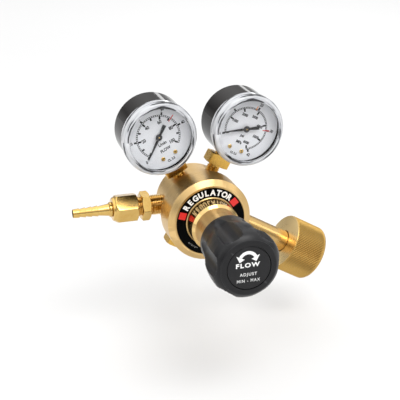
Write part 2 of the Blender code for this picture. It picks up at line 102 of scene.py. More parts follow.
class Looks:
    """One node material under construction."""

    def __init__(self, name):
        self.material = bpy.data.materials.new(name)
        self.material.use_nodes = True
        self.nodes = self.material.node_tree.nodes
        self.links = self.material.node_tree.links
        self.shader = self.nodes["Principled BSDF"]

    def add(self, kind, **values):
        node = self.nodes.new("ShaderNode" + kind)
        for key, value in values.items():
            setattr(node, key, value)
        return node

    def join(self, source, target):
        self.links.new(source, target)

    def object_coords(self):
        return self.add("TexCoord").outputs["Object"]

    def noise(self, vector, scale, detail=4.0, roughness=0.6):
        node = self.add("TexNoise")
        self.join(vector, node.inputs["Vector"])
        node.inputs["Scale"].default_value = scale
        node.inputs["Detail"].default_value = detail
        node.inputs["Roughness"].default_value = roughness
        return node.outputs["Fac"]

    def map(self, value, low, high, to_low, to_high):
        node = self.add("MapRange")
        self.join(value, node.inputs["Value"])
        for key, number in (("From Min", low), ("From Max", high), ("To Min", to_low), ("To Max", to_high)):
            node.inputs[key].default_value = number
        return node.outputs["Result"]

    def math(self, operation, first, second):
        node = self.add("Math", operation=operation)
        for socket, item in zip(node.inputs, (first, second)):
            if isinstance(item, (int, float)):
                socket.default_value = item
            else:
                self.join(item, socket)
        return node.outputs[0]

    def blend(self, factor, first, second):
        node = self.add("Mix", data_type="RGBA")
        self.join(factor, node.inputs["Factor"])
        for key, colour in ((6, first), (7, second)):
            if isinstance(colour, (tuple, list)):
                node.inputs[key].default_value = (*colour, 1.0)
            else:
                self.join(colour, node.inputs[key])
        return node.outputs[2]

    def bump(self, height, strength, distance):
        node = self.add("Bump")
        self.join(height, node.inputs["Height"])
        node.inputs["Strength"].default_value = strength
        node.inputs["Distance"].default_value = distance
        self.join(node.outputs["Normal"], self.shader.inputs["Normal"])

    def edges(self, low=0.52, high=0.62, most=1.0):
        """Raised edges as most and everything else as 0, or the hollows where low is above high."""
        return self.map(self.add("NewGeometry").outputs["Pointiness"], low, high, 0.0, most)

    def own_axis(self):
        """Angle, radius and height around the piece's own axis."""
        split = self.add("SeparateXYZ")
        self.join(self.object_coords(), split.inputs[0])
        x, y, height = split.outputs
        squares = self.math("ADD", self.math("MULTIPLY", x, x), self.math("MULTIPLY", y, y))
        return self.math("ARCTAN2", y, x), self.math("SQRT", squares, 0.0), height

    def combine(self, *parts):
        """Vector from up to three sockets."""
        node = self.add("CombineXYZ")
        for part, socket in zip(parts, node.inputs):
            self.join(part, socket)
        return node.outputs[0]

    def set(self, **values):
        for key, value in values.items():
            self.shader.inputs[key.replace("_", " ")].default_value = value


def turned_metal(name, light, dark, smooth, rough, stretch, groove, grime_and_shade=0.35):
    """Turned metal: rings of fine tool marks, faint tarnish, brighter worn edges, and hollows darkened as
    grime and painted shade.
    """
    look = Looks(name)
    _, radius, height = look.own_axis()
    rings = look.combine(radius, height)
    place = look.object_coords()
    fine = look.noise(rings, 2600.0, 3.0, 0.7)
    broad = look.noise(rings, 260.0, 2.0, 0.5)
    tarnish = look.noise(place, 45.0, 4.0, 0.5)
    tone = look.blend(look.map(tarnish, 0.35, 0.75, 0.0, 0.6), light, dark)
    tone = look.blend(look.map(broad, 0.3, 0.75, 0.0, 0.3), tone, dark)
    worn = tuple(min(1.0, part * 1.15) for part in light)
    tone = look.blend(look.edges(), tone, worn)
    # Hollows (low pointiness) are darkened towards a quarter of the dark tone: grime and painted shade
    # together.
    hollow_grime_and_shade = tuple(part * 0.25 for part in dark)
    tone = look.blend(look.edges(0.49, 0.4, grime_and_shade), tone, hollow_grime_and_shade)
    look.join(tone, look.shader.inputs["Base Color"])
    marks = look.map(fine, 0.3, 0.7, smooth, rough)
    dulled = look.map(tarnish, 0.45, 0.75, 0.0, 0.05)
    look.join(look.math("ADD", marks, dulled), look.shader.inputs["Roughness"])
    look.set(Metallic=1.0, Anisotropic=stretch, Anisotropic_Rotation=0.25)
    tangent = look.add("Tangent", direction_type="RADIAL", axis="Z")
    look.join(tangent.outputs[0], look.shader.inputs["Tangent"])
    look.bump(look.math("ADD", fine, look.math("MULTIPLY", broad, 0.6)), groove, 0.00005)
    return look.material


def plain_metal(name, light, dark, smooth, rough, grain=900.0):
    """Milled, drawn or plated metal with a fine uneven grain."""
    look = Looks(name)
    place = look.object_coords()
    fine = look.noise(place, grain, 4.0, 0.65)
    broad = look.noise(place, 90.0, 4.0, 0.6)
    tone = look.blend(look.map(broad, 0.35, 0.7, 0.0, 1.0), light, dark)
    worn = tuple(min(1.0, part * 1.12) for part in light)
    look.join(look.blend(look.edges(), tone, worn), look.shader.inputs["Base Color"])
    look.join(look.map(fine, 0.3, 0.7, smooth, rough), look.shader.inputs["Roughness"])
    look.set(Metallic=1.0)
    look.bump(fine, 0.04, 0.00005)
    return look.material


def moulded(name, light, dark, smooth, rough, grain=2200.0, relief=0.35, edge=None, gloss=0.5):
    """Moulded plastic, rubber or paint with a fine grain."""
    look = Looks(name)
    place = look.object_coords()
    fine = look.noise(place, grain, 3.0, 0.6)
    broad = look.noise(place, 120.0, 4.0, 0.6)
    tone = look.blend(look.map(broad, 0.3, 0.7, 0.0, 1.0), dark, light)
    # edge, when given, lightens the raised edges: a painted edge highlight.
    if edge:
        tone = look.blend(look.edges(), tone, edge)
    look.join(tone, look.shader.inputs["Base Color"])
    average = look.math("ADD", look.math("MULTIPLY", fine, 0.5), look.math("MULTIPLY", broad, 0.5))
    look.join(look.map(average, 0.35, 0.65, smooth, rough), look.shader.inputs["Roughness"])
    look.set(Specular_IOR_Level=gloss)
    look.bump(fine, relief, 0.00008)
    return look.material


def clear_plastic(name):
    """Clear polycarbonate that lets the lamps reach the dial."""
    look = Looks(name)
    look.shader.inputs["Base Color"].default_value = (0.98, 0.985, 0.99, 1.0)
    look.set(Transmission_Weight=1.0, IOR=1.49, Roughness=0.0, Specular_Tint=(0.3, 0.3, 0.3, 1.0))
    output = look.nodes["Material Output"]
    clear = look.add("BsdfTransparent")
    clear.inputs[0].default_value = (0.93, 0.94, 0.95, 1.0)
    mix = look.add("MixShader")
    look.join(look.add("LightPath").outputs["Is Shadow Ray"], mix.inputs[0])
    look.join(look.shader.outputs[0], mix.inputs[1])
    look.join(clear.outputs[0], mix.inputs[2])
    look.join(mix.outputs[0], output.inputs[0])
    return look.material


def clear_rim_painted_refraction(name):
    """Thick moulded rim of the clear front, partly see-through, its colour painted: pale patches for
    refracted light and dark arcs for the black case seen through it.
    """
    look = Looks(name)
    turn, radius, height = look.own_axis()
    stretched = look.combine(look.math("MULTIPLY", turn, 1.1), look.math("MULTIPLY", radius, 420.0),
                             look.math("ADD", look.math("MULTIPLY", height, 450.0), 3.7))
    painted_refraction = look.noise(stretched, 1.0, 2.0, 0.6)
    # Painted refraction: grey to pale patches for refracted light, then near-black arcs for the case seen
    # through the plastic.
    tone = look.blend(look.map(painted_refraction, 0.4, 0.6, 0.0, 1.0), (0.5, 0.51, 0.55), (0.92, 0.93, 0.95))
    tone = look.blend(look.map(painted_refraction, 0.46, 0.42, 0.0, 0.95), tone, (0.015, 0.015, 0.015))
    look.join(tone, look.shader.inputs["Base Color"])
    look.join(look.map(painted_refraction, 0.3, 0.7, 0.03, 0.1), look.shader.inputs["Roughness"])
    look.set(Transmission_Weight=0.45, IOR=1.4)
    return look.material


BRASS = turned_metal("brass_turned", (0.68, 0.47, 0.21), (0.57, 0.37, 0.145), 0.25, 0.34, 0.7, 0.05)
POLISHED = turned_metal("brass_polished", (0.7, 0.49, 0.21), (0.6, 0.39, 0.15), 0.13, 0.22, 0.5, 0.06)
# The knurl is a darker copy of the brass, and its grooves get strong painted shade (0.95) so the ridges read
# as lit and shaded.
KNURLED_PAINTED_SHADE = turned_metal("brass_knurled_painted_shade", (0.54, 0.34, 0.1), (0.45, 0.27, 0.07), 0.3, 0.42, 0.0, 0.05, 0.95)
# The faced front of the hand nut is a brighter copy of the brass: a painted highlight for the bright
# reflection it shows.
FACED_PAINTED_HIGHLIGHT = turned_metal("brass_faced_painted_highlight", (0.88, 0.65, 0.31), (0.82, 0.59, 0.26), 0.25, 0.3, 0.5, 0.015)
DRAWN = turned_metal("brass_drawn", (0.6, 0.4, 0.16), (0.52, 0.33, 0.11), 0.22, 0.27, 0.5, 0.015)
MILLED = plain_metal("brass_milled", (0.66, 0.41, 0.1), (0.58, 0.34, 0.07), 0.24, 0.31)
FITTING = plain_metal("brass_fitting", (0.72, 0.49, 0.17), (0.62, 0.39, 0.11), 0.12, 0.24)
# Near-black brass for the inside of the bore: painted shade in the hole.
BORE_PAINTED_SHADE = plain_metal("brass_bore_painted_shade", (0.1, 0.06, 0.02), (0.05, 0.03, 0.01), 0.4, 0.6)
STEEL = turned_metal("steel_turned", (0.56, 0.56, 0.57), (0.42, 0.42, 0.43), 0.24, 0.4, 0.3, 0.15)
SPRING = plain_metal("steel_spring", (0.38, 0.39, 0.41), (0.28, 0.29, 0.31), 0.3, 0.48)
ALUMINIUM = turned_metal("aluminium_turned", (0.8, 0.81, 0.83), (0.68, 0.69, 0.72), 0.22, 0.36, 0.4, 0.15)
BRONZE = plain_metal("bronze_sintered", (0.5, 0.33, 0.17), (0.36, 0.22, 0.1), 0.6, 0.9, 1800.0)
RUBBER = moulded("rubber_black", (0.035, 0.035, 0.036), (0.02, 0.02, 0.02), 0.6, 0.85, 1600.0, 0.5)
NYLON = moulded("nylon_natural", (0.86, 0.85, 0.79), (0.8, 0.78, 0.7), 0.4, 0.6)
# The knob's edge tone is a painted highlight along its raised edges.
KNOB = moulded("knob_black", (0.009, 0.009, 0.01), (0.006, 0.006, 0.007), 0.28, 0.42, 2600.0, 0.25,
               edge=(0.035, 0.035, 0.037), gloss=0.28)
CAP = moulded("knob_cap_black", (0.011, 0.011, 0.012), (0.008, 0.008, 0.009), 0.28, 0.4, 2600.0, 0.2,
              gloss=0.28)
LABEL = moulded("label_gloss_black", (0.0012, 0.0012, 0.0012), (0.0008, 0.0008, 0.001), 0.2, 0.32, 900.0,
                0.08, gloss=0.03)
ENAMEL = moulded("case_gloss_black", (0.01, 0.008, 0.007), (0.005, 0.004, 0.004), 0.05, 0.1, 500.0, 0.02,
                 gloss=0.12)
DIAL = moulded("dial_white_enamel", (0.83, 0.83, 0.85), (0.8, 0.8, 0.82), 0.45, 0.6, 1200.0, 0.1)
PRINT = moulded("print_black", (0.008, 0.008, 0.009), (0.005, 0.005, 0.005), 0.5, 0.65, 900.0, 0.1,
                gloss=0.2)
POINTER = moulded("pointer_black", (0.018, 0.018, 0.019), (0.01, 0.01, 0.011), 0.42, 0.58, 900.0, 0.15)
WHITE_INK = moulded("print_white", (0.88, 0.88, 0.87), (0.82, 0.82, 0.81), 0.4, 0.55, 900.0, 0.1)
GREY_INK = moulded("print_grey", (0.3, 0.3, 0.3), (0.24, 0.24, 0.24), 0.5, 0.6, 900.0, 0.1)
RED_INK = moulded("print_red", (0.72, 0.018, 0.015), (0.64, 0.014, 0.012), 0.35, 0.5, 900.0, 0.1)
ORANGE_INK = moulded("print_orange", (0.9, 0.33, 0.05), (0.85, 0.27, 0.03), 0.4, 0.55, 900.0, 0.1)
CLEAR = clear_plastic("clear_polycarbonate")
RIM_PAINTED_REFRACTION = clear_rim_painted_refraction("clear_rim_painted_refraction")

# ---------------------------------------------------------------- shapes


def settle(name, mesh, where, material, body, replaced):
    """Give a finished mesh its place, look and body, and hide the CAD parts it replaces."""
    mesh.materials.append(material)
    item = bpy.data.objects.new(name, mesh)
    bpy.context.scene.collection.objects.link(item)
    item.matrix_world = where
    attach(item, body)
    if replaced:
        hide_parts(*replaced)
    return item


def shaded(form, name, angle=32.0):
    """Mesh from a bmesh, smooth except at sharp turns."""
    bmesh.ops.recalc_face_normals(form, faces=form.faces)
    mesh = bpy.data.meshes.new(name)
    form.to_mesh(mesh)
    form.free()
    mesh.shade_smooth()
    mesh.set_sharp_from_angle(angle=math.radians(angle))
    return mesh


FILLET_STEPS = 4
FILLET_SHARE = 0.42
FILLET_LEAD = 0.08
NEARLY_STRAIGHT = math.radians(87)


def rounded(outline, fillet):
    """Outline with rounded corners. A corner is (radius, height) or (radius, height, its own fillet);
    a corner whose radius is a function is left as it is."""
    points = []
    count = len(outline)
    for index, corner in enumerate(outline):
        before, after = outline[index - 1], outline[(index + 1) % count]
        size = corner[2] if len(corner) == 3 else fillet
        shaped = any(callable(near[0]) for near in (before, corner, after))
        if shaped or corner[0] == 0.0 or size == 0.0:
            points.append((corner[0], corner[1]))
            continue
        here = Vector(corner[:2])
        back = Vector(before[:2]) - here
        ahead = Vector(after[:2]) - here
        half = back.angle(ahead) / 2
        if half > NEARLY_STRAIGHT:
            points.append((corner[0], corner[1]))
            continue
        reach = min(size / math.tan(half), FILLET_SHARE * back.length, FILLET_SHARE * ahead.length)
        start = here + back.normalized() * reach
        end = here + ahead.normalized() * reach
        bisector = (back.normalized() + ahead.normalized()).normalized()
        centre = here + bisector * (reach / math.cos(half))
        points.append(tuple(start + back.normalized() * reach * FILLET_LEAD))
        for step in range(FILLET_STEPS + 1):
            arm = (start - centre).slerp(end - centre, step / FILLET_STEPS).normalized()
            points.append(tuple(centre + arm * (start - centre).length))
        points.append(tuple(end + ahead.normalized() * reach * FILLET_LEAD))
    return points


def skin(rings, angles):
    """Closed bmesh around local Z, its last ring joined to its first. Each ring is (radius, height) in mm;
    a radius may be a function of angle and height."""
    form = bmesh.new()
    made = []
    for radius, height in rings:
        if radius == 0.0:
            made.append([form.verts.new((0.0, 0.0, height * MM))])
            continue
        ring = []
        for angle in angles:
            reach = radius(angle, height) if callable(radius) else radius
            spot = (reach * MM * math.cos(angle), reach * MM * math.sin(angle), height * MM)
            ring.append(form.verts.new(spot))
        made.append(ring)
    for ring, following in zip(made, made[1:] + made[:1]):
        if len(ring) == 1 and len(following) == 1:
            continue
        for index in range(len(angles)):
            after = (index + 1) % len(angles)
            if len(ring) == 1:
                form.faces.new((ring[0], following[after], following[index]))
            elif len(following) == 1:
                form.faces.new((ring[index], ring[after], following[0]))
            else:
                form.faces.new((ring[index], ring[after], following[after], following[index]))
    return form


def even(count):
    """Evenly spaced angles once round."""
    return [2 * math.pi * index / count for index in range(count)]


def carve(name, where, rings, angles, material, body, replaced, sharp=28.0):
    """Piece from a closed run of rings, smooth except at turns sharper than sharp degrees."""
    return settle(name, shaded(skin(rings, angles), name, sharp), where, material, body, replaced)


def lathe(name, where, outline, material, body, replaced=(), fillet=0.3, steps=144):
    """Turned piece from a closed outline of (radius, height) corners in mm."""
    return carve(name, where, rounded(outline, fillet), even(steps), material, body, replaced, 32.0)


def reface(item, material, chosen):
    """Give a second material to the faces that chosen(radius, height) picks, both in mm."""
    item.data.materials.append(material)
    for face in item.data.polygons:
        centre = face.center
        if chosen(math.hypot(centre.x, centre.y) / MM, centre.z / MM):
            face.material_index = 1


def polygon(sides, apothem, corner, turn=0.0):
    """Radius of a polygon with rounded corners, as a function of angle."""
    sector = 2 * math.pi / sides
    half = sector / 2
    centre = (apothem - corner) / math.cos(half)
    limit = math.atan2(corner * math.sin(half), centre + corner * math.cos(half))

    def reach(angle):
        offset = (angle - turn + half) % sector - half
        from_corner = half - abs(offset)
        if from_corner < limit:
            return centre * math.cos(from_corner) + math.sqrt(
                max(0.0, corner ** 2 - (centre * math.sin(from_corner)) ** 2))
        return apothem / math.cos(offset)
    return reach


def corner_angles(sides, turn=0.0, per_side=20):
    """Angles once round, bunched near the corners of a polygon."""
    sector = 2 * math.pi / sides
    angles = []
    for side in range(sides):
        base = turn + side * sector
        for step in range(per_side):
            t = step / per_side
            bunch = 0.5 - 0.5 * math.cos(math.pi * t)
            angles.append(base - sector / 2 + sector * (0.35 * t + 0.65 * bunch))
    return angles


def cone_cut(profile, face, slope, depth, steps, power):
    """(radius function, depth) of the rings at the end of a bar that a cone cuts from a round face."""
    rings = []
    for step in range(steps + 1):
        down = depth * (step / steps) ** power
        rings.append((lambda angle, height, down=down: min(profile(angle), face + slope * down), down))
    return rings


HEX_CUT = (1.75, 2.4, 12, 1.5)


def chamfered(profile, start, end, low_face, high_face, low=HEX_CUT, high=HEX_CUT):
    """Rings of a bar between two heights, each end cut by a cone: (slope, depth, steps, power)."""
    rings = [(radius, start + down) for radius, down in cone_cut(profile, low_face, *low)]
    rings += [(radius, end - down) for radius, down in reversed(cone_cut(profile, high_face, *high))]
    return rings


RINGS_PER_PITCH = 8


def thread(start, end, major, minor, pitch):
    """Rings of a screw thread, fading out at both ends."""
    rings = []
    count = int((end - start) / pitch * RINGS_PER_PITCH)
    for step in range(count + 1):
        height = start + (end - start) * step / count

        def reach(angle, height):
            phase = (height / pitch + angle / (2 * math.pi)) % 1.0
            ridge = min(1.0, max(0.0, 1.35 - abs(phase * 2 - 1) * 1.7))
            fade = min(1.0, (height - start) / pitch, (end - height) / pitch)
            return minor + (major - minor) * ridge * max(0.0, fade)
        rings.append((reach, height))
    return rings


def flat_shape(name, where, loops, low, high, material, body, replaced=(), bevel=0.0):
    """Plates from closed (x, y) loops in mm, all in one mesh."""
    form = bmesh.new()
    for loop in loops:
        base = [form.verts.new((x * MM, y * MM, low * MM)) for x, y in loop]
        face = form.faces.new(base)
        raised = bmesh.ops.extrude_face_region(form, geom=[face])
        tops = [item for item in raised["geom"] if isinstance(item, bmesh.types.BMVert)]
        bmesh.ops.translate(form, verts=tops, vec=(0, 0, (high - low) * MM))
    if bevel:
        edges = [edge for edge in form.edges if edge.is_manifold and abs(edge.calc_face_angle(0.0)) > 0.6]
        bmesh.ops.bevel(form, geom=edges, offset=bevel * MM, segments=2, affect="EDGES", clamp_overlap=True)
    return settle(name, shaded(form, name), where, material, body, replaced)


def lettering(name, where, words, material, body, spacing=1.0):
    """Printed characters. Each word is (text, x, y, turn in degrees, size in mm, weight in mm, width)."""
    form = bmesh.new()
    for text, x, y, turn, size, weight, width in words:
        curve = bpy.data.curves.new(name, "FONT")
        curve.body = text
        curve.size = size
        curve.align_x = "CENTER"
        curve.align_y = "CENTER"
        curve.offset = weight
        curve.space_character = spacing
        curve.extrude = 0.02
        curve.resolution_u = 3
        item = bpy.data.objects.new(name, curve)
        bpy.context.scene.collection.objects.link(item)
        bpy.context.view_layer.update()
        mesh = bpy.data.meshes.new_from_object(item.evaluated_get(bpy.context.evaluated_depsgraph_get()))
        centre = sum((Vector(corner) for corner in item.bound_box), Vector()) / 8
        move = (Matrix.Diagonal((MM, MM, MM, 1.0)) @ Matrix.Translation((x, y, 0.0))
                @ Matrix.Rotation(math.radians(turn), 4, "Z") @ Matrix.Diagonal((width, 1.0, 1.0, 1.0))
                @ Matrix.Translation((-centre.x, -centre.y, 0.0)))
        mesh.transform(move)
        form.from_mesh(mesh)
        bpy.data.objects.remove(item)
        bpy.data.curves.remove(curve)
        bpy.data.meshes.remove(mesh)
    mesh = bpy.data.meshes.new(name)
    form.to_mesh(mesh)
    form.free()
    return settle(name, mesh, where, material, body, ())


def clock(degrees, radius):
    """(x, y) at an angle clockwise from the top."""
    angle = math.radians(degrees)
    return radius * math.sin(angle), radius * math.cos(angle)


def bar(degrees, inner, outer, width, taper=1.0):
    """Loop of a radial bar on a dial."""
    angle = math.radians(degrees)
    out = Vector((math.sin(angle), math.cos(angle)))
    side = Vector((out.y, -out.x)) * width / 2
    return [tuple(out * inner - side * taper), tuple(out * inner + side * taper),
            tuple(out * outer + side), tuple(out * outer - side)]


ARC_STEP = 4.0


def arc_band(start, end, inner, outer):
    """Loops of a ring segment on a dial, as short quads."""
    count = round(abs(end - start) / ARC_STEP)
    loops = []
    for index in range(count):
        first = start + (end - start) * index / count
        last = start + (end - start) * (index + 1) / count
        loops.append([clock(first, inner), clock(last, inner), clock(last, outer), clock(first, outer)])
    return loops


# ---------------------------------------------------------------- body and bonnet

BODY_RADIUS = 26.5
BODY_BACK = 51.5
BONNET_RADIUS = 30.5
BONNET_BACK = 22.6
COLLAR_RADIUS = 17.5
COLLAR_END = -14.3
NECK_RADIUS = 15.6
NECK_END = -34.0
POLISHED_FRONT = -14.0
POLISHED_BACK = -0.5

lathe("body_shell", MAIN, [
    (27.6, 12), (27.6, 24.2), (BODY_RADIUS, 25.4), (BODY_RADIUS, BODY_BACK - 1.0),
    (BODY_RADIUS - 1.0, BODY_BACK), (12.2, BODY_BACK), (11.8, 51.2), (7.4, 51.2), (7.3, 29), (4, 29),
    (4, 27), (5.8, 27), (5.8, 19), (21, 19), (21, 12)],
    BRASS, "regulator", ("body",))

bonnet = lathe("bonnet_ring", MAIN, [
    (BONNET_RADIUS, BONNET_BACK, 0.6), (BONNET_RADIUS, 2.8, 0.35), (26.7, 0, 0.25), (26.4, -0.2, 0.1),
    (25.2, -0.2, 0.12), (25.2, 0.45), (18.0, 0.45), (18.0, -0.2, 0.12), (COLLAR_RADIUS, -0.6, 0.2),
    (COLLAR_RADIUS, COLLAR_END + 2.0, 0.3), (NECK_RADIUS, COLLAR_END, 0.3),
    (NECK_RADIUS, NECK_END + 0.8), (NECK_RADIUS - 0.8, NECK_END), (6.4, NECK_END), (6.4, -24),
    (12.8, -24), (12.8, 5), (20, 5), (20, 8.9), (28, 8.9), (28, BONNET_BACK)],
    BRASS, "regulator", ("bonnet",), steps=192)
reface(bonnet, POLISHED,
       lambda radius, height: radius < COLLAR_RADIUS + 0.1 and POLISHED_FRONT < height < POLISHED_BACK)

# ---------------------------------------------------------------- printed ring

WORD = "REGULATOR"
LETTER_STEP = 11.9
WORD_CENTRE = -7.5
LETTER_RADIUS = 21.6
LETTER_SIZE = 5.8
LABEL_OUTER = 24.9
LABEL_INNER = 18.3
PATCH_ANGLES = (-73.0, 54.0)
PATCH_INNER = 18.9
PATCH_OUTER = 24.1
PATCH_WIDTH = 5.2
TICKS = 9
TICK_START = -132
TICK_STEP = 2.6

lathe("printed_ring", MAIN, [
    (LABEL_OUTER, 0.2), (LABEL_OUTER, -LABEL_FACE), (LABEL_INNER, -LABEL_FACE), (LABEL_INNER, 0.2)],
    LABEL, "regulator", ("label_ring",), fillet=0.05, steps=192)

letters = []
for index, letter in enumerate(WORD):
    spot = WORD_CENTRE + (index - (len(WORD) - 1) / 2) * LETTER_STEP
    letters.append((letter, *clock(spot, LETTER_RADIUS), -spot, LETTER_SIZE, 0.26, 0.95))
lettering("label_word", FRONT @ Matrix.Translation((0, 0, LABEL_FACE * MM)), letters, WHITE_INK, "regulator")
patches = [bar(spot, PATCH_INNER, PATCH_OUTER, PATCH_WIDTH) for spot in PATCH_ANGLES]
flat_shape("label_patches", FRONT, patches, LABEL_FACE, LABEL_FACE + INK, RED_INK, "regulator")
ticks = [bar(TICK_START - step * TICK_STEP, 21.2, 22.4 - 0.3 * (step % 3), 0.42) for step in range(TICKS)]
flat_shape("label_ticks", FRONT, ticks, LABEL_FACE, LABEL_FACE + INK, GREY_INK, "regulator")

# ---------------------------------------------------------------- knob

KNOB_BASE = -34.5
KNOB_FRONT = -81.0
KNOB_RINGS = 90
FRONT_RADIUS = 18.5
DISC_RADIUS = 14.8
DISC_BACK = -77.5
POCKET_RADIUS = 15.1
POCKET_FLOOR = -77.2
KNOB_BORE = 6.4
ENVELOPE = [(-34.5, 18.2), (-35.2, 18.5), (-41.0, 18.8), (-47.0, 19.5), (-52.0, 20.9), (-57.0, 22.5),
            (-62.0, 23.3), (-67.0, 23.6), (-72.0, 23.6), (-75.0, 23.2), (-77.0, 22.3), (-78.6, 21.0),
            (-79.6, 19.8), (-79.8, 19.4), (-80.4, 19.3), (-80.8, 19.0), (-81.0, FRONT_RADIUS)]
FLUTE_ANGLE = 65.0
FLUTE_RADIUS = 7.6
FLUTE_FLOOR = 17.2
FLUTE_RISE = 2.0
FLUTE_START = -47.0
FLUTE_FADE = 10.0
FLUTE_END = -74.5
FLUTE_NOSE = 3.7
FLUTE_SOFTNESS = 0.2


def spline_value(table, at):
    """Smooth (monotone) value from a table of (place, value), places falling."""
    for index in range(len(table) - 1):
        (x0, y0), (x1, y1) = table[index], table[index + 1]
        if x1 <= at <= x0:
            slope = (y1 - y0) / (x1 - x0)
            before, after = slope, slope
            if index > 0:
                before = (y0 - table[index - 1][1]) / (x0 - table[index - 1][0])
            if index + 2 < len(table):
                after = (table[index + 2][1] - y1) / (table[index + 2][0] - x1)
            start = 0.0 if before * slope <= 0 else 2 * before * slope / (before + slope)
            end = 0.0 if after * slope <= 0 else 2 * after * slope / (after + slope)
            width = x1 - x0
            t = (at - x0) / width
            return ((2 * t ** 3 - 3 * t ** 2 + 1) * y0 + (t ** 3 - 2 * t ** 2 + t) * width * start
                    + (3 * t ** 2 - 2 * t ** 3) * y1 + (t ** 3 - t ** 2) * width * end)
    return table[-1][1] if at < table[-1][0] else table[0][1]


def knob_reach(angle, height):
    """Radius of the fluted knob: a swelling barrel with six scooped flutes that end short of the rim."""
    barrel = spline_value(ENVELOPE, height)
    offset = (angle - math.radians(FLUTE_ANGLE) + math.pi / 6) % (math.pi / 3) - math.pi / 6
    size = FLUTE_RADIUS
    if height < FLUTE_END:
        size = FLUTE_RADIUS * max(0.0, 1.0 - ((FLUTE_END - height) / FLUTE_NOSE) ** 3) ** (1 / 3)
    fade = max(0.0, min(1.0, (height - FLUTE_START) / FLUTE_FADE))
    distance = FLUTE_FLOOR + FLUTE_RADIUS + FLUTE_RISE * fade ** 2
    inside = size ** 2 - (distance * math.sin(offset)) ** 2
    if inside <= 0.0:
        return barrel
    flute = distance * math.cos(offset) - math.sqrt(inside)
    gap = barrel - flute
    if gap > FLUTE_SOFTNESS * 3:
        return flute
    if gap < -FLUTE_SOFTNESS * 3:
        return barrel
    blend = max(0.0, min(1.0, 0.5 + gap / (FLUTE_SOFTNESS * 3)))
    return barrel * (1 - blend) + flute * blend - FLUTE_SOFTNESS * 0.5 * blend * (1 - blend)


knob_rings = [(knob_reach, KNOB_BASE - (KNOB_BASE - KNOB_FRONT) * (step / KNOB_RINGS))
              for step in range(KNOB_RINGS)]
knob_rings += [(radius, KNOB_FRONT) for radius in (FRONT_RADIUS, 18.2, 17.0, 15.8, 15.5)]
knob_rings += [
    (POCKET_RADIUS + 0.1, KNOB_FRONT + 0.12), (POCKET_RADIUS, KNOB_FRONT + 0.4),
    (POCKET_RADIUS, POCKET_FLOOR), (5.2, POCKET_FLOOR), (5.2, -71), (3, -71), (3, -66), (KNOB_BORE, -66),
    (KNOB_BORE, -43.5), (16.2, -43.5), (16.2, KNOB_BASE)]
carve("knob_grip", MAIN, knob_rings, even(300), KNOB, "adjuster", ("knob",), 34.0)

lathe("knob_disc", MAIN, [
    (0, KNOB_FRONT), (DISC_RADIUS - 0.7, KNOB_FRONT), (DISC_RADIUS - 0.05, KNOB_FRONT + 0.35),
    (DISC_RADIUS, DISC_BACK), (0, DISC_BACK)],
    CAP, "adjuster", ("knob_cap",), fillet=0.25)

ARROW_INNER = 4.6
ARROW_OUTER = 6.8
ARROW_TURN = 66
HEAD_TURN = 64
HEAD_TIP = 98
HEAD_FLARE = 2.0
ARROW_CENTRE = (-0.9, 5.4)

knob_face = FRONT @ Matrix.Translation((0, 0, -KNOB_FRONT * MM))
arrows = arc_band(-ARROW_TURN, ARROW_TURN, ARROW_INNER, ARROW_OUTER)
for side in (-1, 1):
    base = [clock(side * HEAD_TURN, radius)
            for radius in (ARROW_INNER - HEAD_FLARE, ARROW_OUTER + HEAD_FLARE)]
    arrows.append([clock(side * HEAD_TIP, (ARROW_INNER + ARROW_OUTER) / 2)] + base[::-side])
lifted = [[(x + ARROW_CENTRE[0], y + ARROW_CENTRE[1]) for x, y in loop] for loop in arrows]
flat_shape("knob_arrow", knob_face, lifted, 0.0, 0.04, WHITE_INK, "adjuster")
lettering("knob_print", knob_face, [
    ("FLOW", -0.9, 2.4, 0, 4.2, 0.16, 1.2), ("ADJUST", -0.5, -4.4, 0, 3.0, 0.02, 0.95),
    ("MIN - MAX", -0.4, -8.5, 0, 3.0, 0.01, 0.9)], WHITE_INK, "adjuster", 1.25)

# ---------------------------------------------------------------- inlet

STEM_RADIUS = 8.2
KNURLS = 102
KNURL_DEPTH = 0.55
NUT_RADIUS = 21.3
NUT_START = 81.2
NUT_END = 108.9
NUT_CORNER = 2.5
NUT_FLOOR = 85.6
FACED_RADIUS = 20.2
FACED_HEIGHT = 81.45
UNION_THREAD = (87.2, 108.2, 11.0, 11.75, 1.81)
SEAL_RADIUS = 7.55
SEAL_THICKNESS = 1.1
SEAL_HEIGHT = 93.5

lathe("inlet_tube", INLET_PORT, [
    (2, 17.5), (6.1, 17.5), (6.1, 27), (STEM_RADIUS, 27), (STEM_RADIUS, 86), (10.4, 86), (10.4, 90),
    (8, 90.6), (8, 92), (6.1, 92), (6.1, 95), (7.6, 95), (7.6, 96), (3.5, 96), (3.5, 88), (2, 88)],
    DRAWN, "regulator", ("inlet_stem",), steps=96)
seal_ring = [(SEAL_RADIUS + SEAL_THICKNESS * math.cos(angle), SEAL_HEIGHT + SEAL_THICKNESS * math.sin(angle))
             for angle in even(20)]
carve("inlet_o_ring", INLET_PORT, seal_ring, even(96), RUBBER, "regulator", ("inlet_seal",), 32.0)
lathe("inlet_strainer", INLET_PORT, [(0, 88.4), (3.1, 88.4), (3.1, 95.5), (0, 95.5)],
      BRONZE, "regulator", ("inlet_filter",), steps=64)


def knurl(angle, height):
    """Straight knurl: shallow rounded ridges along the nut."""
    return NUT_RADIUS - KNURL_DEPTH * (0.5 + 0.5 * math.cos(KNURLS * angle))


